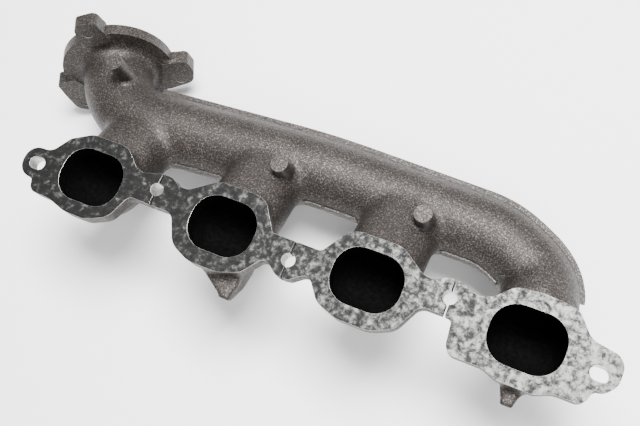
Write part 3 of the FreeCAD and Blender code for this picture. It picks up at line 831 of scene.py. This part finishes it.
def land_band(low_x, high_x, low_y, high_y, height):
    """A band of the skin between two planes and a block, pushed out along its normals."""
    bm = whole.copy()
    tilt = Vector((PIPE_RISE, 0, 1)).normalized()
    middle = Vector((PORT_X[4], 0, -LAND_DEEP))
    cuts = [(middle + tilt * LAND_WIDTH / 2, tilt), (middle - tilt * LAND_WIDTH / 2, -tilt),
            (Vector((high_x * MM, 0, 0)), Vector((1, 0, 0))),
            (Vector((low_x * MM, 0, 0)), Vector((-1, 0, 0))),
            (Vector((0, high_y * MM, 0)), Vector((0, 1, 0))),
            (Vector((0, low_y * MM, 0)), Vector((0, -1, 0)))]
    for place, way in cuts:
        bmesh.ops.bisect_plane(bm, geom=bm.verts[:] + bm.edges[:] + bm.faces[:], plane_co=place,
                               plane_no=way, clear_outer=True)
    core_faces = [face for face in bm.faces if face.material_index == 1]
    bmesh.ops.delete(bm, geom=core_faces, context="FACES")
    bm.normal_update()
    for vert in bm.verts:
        vert.co -= vert.normal * LAND_ROOT
    made = bmesh.ops.extrude_face_region(bm, geom=bm.faces[:])["geom"]
    for vert in [item for item in made if isinstance(item, bmesh.types.BMVert)]:
        flat = (vert.normal - tilt * vert.normal.dot(tilt)).normalized()
        vert.co += flat * (height * MM + LAND_ROOT)
    bmesh.ops.recalc_face_normals(bm, faces=bm.faces[:])
    return bm


for node, stretch in LANDS.items():
    land = finish_object(f"cast_{node}", land_band(*stretch), (CAST,))
    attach(land, "root")
    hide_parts(node)
    print(land.name, len(land.data.polygons), "faces")

# %% Bosses
BOSS_RIM = 0.6 * MM
for number in BOSS_XY:
    bm = boss_solid(number)
    bm.normal_update()
    rim_edges = [edge for edge in bm.edges if all(abs(vert.co.z - BOSS_FACE) < 1e-6 for vert in edge.verts)]
    break_edges(bm, rim_edges, BOSS_RIM, 3)
    boss = finish_object(f"cast_boss_{number}", bm, (CAST,))
    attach(boss, "root")
    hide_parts(f"heat_shield_boss_{number}")


# %% Outlet flange
def stud_tool(angle):
    face = disc(STUD_HOLE, Vector((*polar(angle, STUD_RING), 5 * MM)), Vector((0, 0, 1)), 32)
    return extrude_down(face, 30 * MM)


SEAT_RADIUS, SEAT_DEEP = 31 * MM, 5 * MM
bore = extrude_down(disc(PIPE_OUTLET - WALL, Vector((0, 0, 5 * MM)), Vector((0, 0, 1)), 96), 30 * MM)
seat = extrude_down(disc(SEAT_RADIUS, Vector((0, 0, 5 * MM)), Vector((0, 0, 1)), 96), SEAT_DEEP + 5 * MM)
rim = extrude_down(disc(OUTLET_RIM, Vector(), Vector((0, 0, 1)), 96), OUTLET_THICK)
blank = carve(rim, *[lug_blank(outline) for outline in LUGS], kind="UNION")
flange_mesh = carve(blank, bore, seat, *[stud_tool(angle) for angle in STUD_ANGLES])
flange_mesh.normal_update()
for face in flange_mesh.faces:
    middle = face.calc_center_median()
    if abs(face.normal.z) > 0.98:
        face.material_index = 0 if face.normal.z > 0 else 1
    elif math.hypot(middle.x, middle.y) < SEAT_RADIUS + RIM or any(
            math.hypot(middle.x - polar(angle, STUD_RING)[0], middle.y - polar(angle, STUD_RING)[1])
            < STUD_HOLE * 1.02 for angle in STUD_ANGLES):
        face.material_index = 2
    else:
        face.material_index = 1
bmesh.ops.transform(flange_mesh, matrix=FLANGE_PLACE, verts=flange_mesh.verts[:])
flange = finish_object("outlet_flange_plate", flange_mesh, (MILLED, CAST, BARE))
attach(flange, "root")
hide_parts("outlet_flange")

# %% [markdown]
# ## Floor, light and camera
#
# Dull iron shows its shape best under one broad, soft light near the viewer and a fill from the
# side: faces turned to the viewer are light and the tubes' edges fall away into shade. The camera
# is given by its place, the point it looks at and its roll about that line.

# %% Floor and world
floor_bm = bmesh.new()
bmesh.ops.create_grid(floor_bm, x_segments=1, y_segments=1, size=3.0)
bmesh.ops.translate(floor_bm, vec=(0, 0, CAD_BOX[0][2] - 0.5 * MM), verts=floor_bm.verts[:])
paper, paper_shader, _ = new_material("pale_paper")
paper_shader.inputs["Base Color"].default_value = (0.93, 0.93, 0.93, 1)
paper_shader.inputs["Roughness"].default_value = 0.9
floor = finish_object("floor", floor_bm, (paper,))

world = bpy.data.worlds.new("soft_surround")
world.use_nodes = True
world.node_tree.nodes["Background"].inputs["Color"].default_value = (1, 1, 1, 1)
world.node_tree.nodes["Background"].inputs["Strength"].default_value = 0.5
bpy.context.scene.world = world


# %% Lights
def soft_light(name, place, power, width):
    """A square area light that looks at the middle of the part."""
    light = bpy.data.lights.new(name, "AREA")
    light.energy = power
    light.size = width
    lamp = bpy.data.objects.new(name, light)
    bpy.context.scene.collection.objects.link(lamp)
    lamp.location = place
    lamp.rotation_euler = (Vector((0, 0.04, -0.05)) - Vector(place)).to_track_quat("-Z", "Y").to_euler()


soft_light("key", (0.15, 0.45, 1.4), 105, 0.7)
soft_light("fill", (0.5, -0.6, 1.3), 18, 0.9)

# %% Camera
camera = bpy.data.objects.new("camera", bpy.data.cameras.new("camera"))
bpy.context.scene.collection.objects.link(camera)
camera.data.lens = 47.8
CAMERA_PLACE, CAMERA_AIM, CAMERA_ROLL = Vector((166.8, -87.2, 560.7)), Vector((7.43, 32.71, 0)), -31.82
way = (CAMERA_AIM - CAMERA_PLACE).to_track_quat("-Z", "Y").to_matrix().to_4x4()
camera.matrix_world = (Matrix.Translation(CAMERA_PLACE * MM) @ way
                       @ Matrix.Rotation(math.radians(CAMERA_ROLL), 4, "Z"))
bpy.context.scene.camera = camera
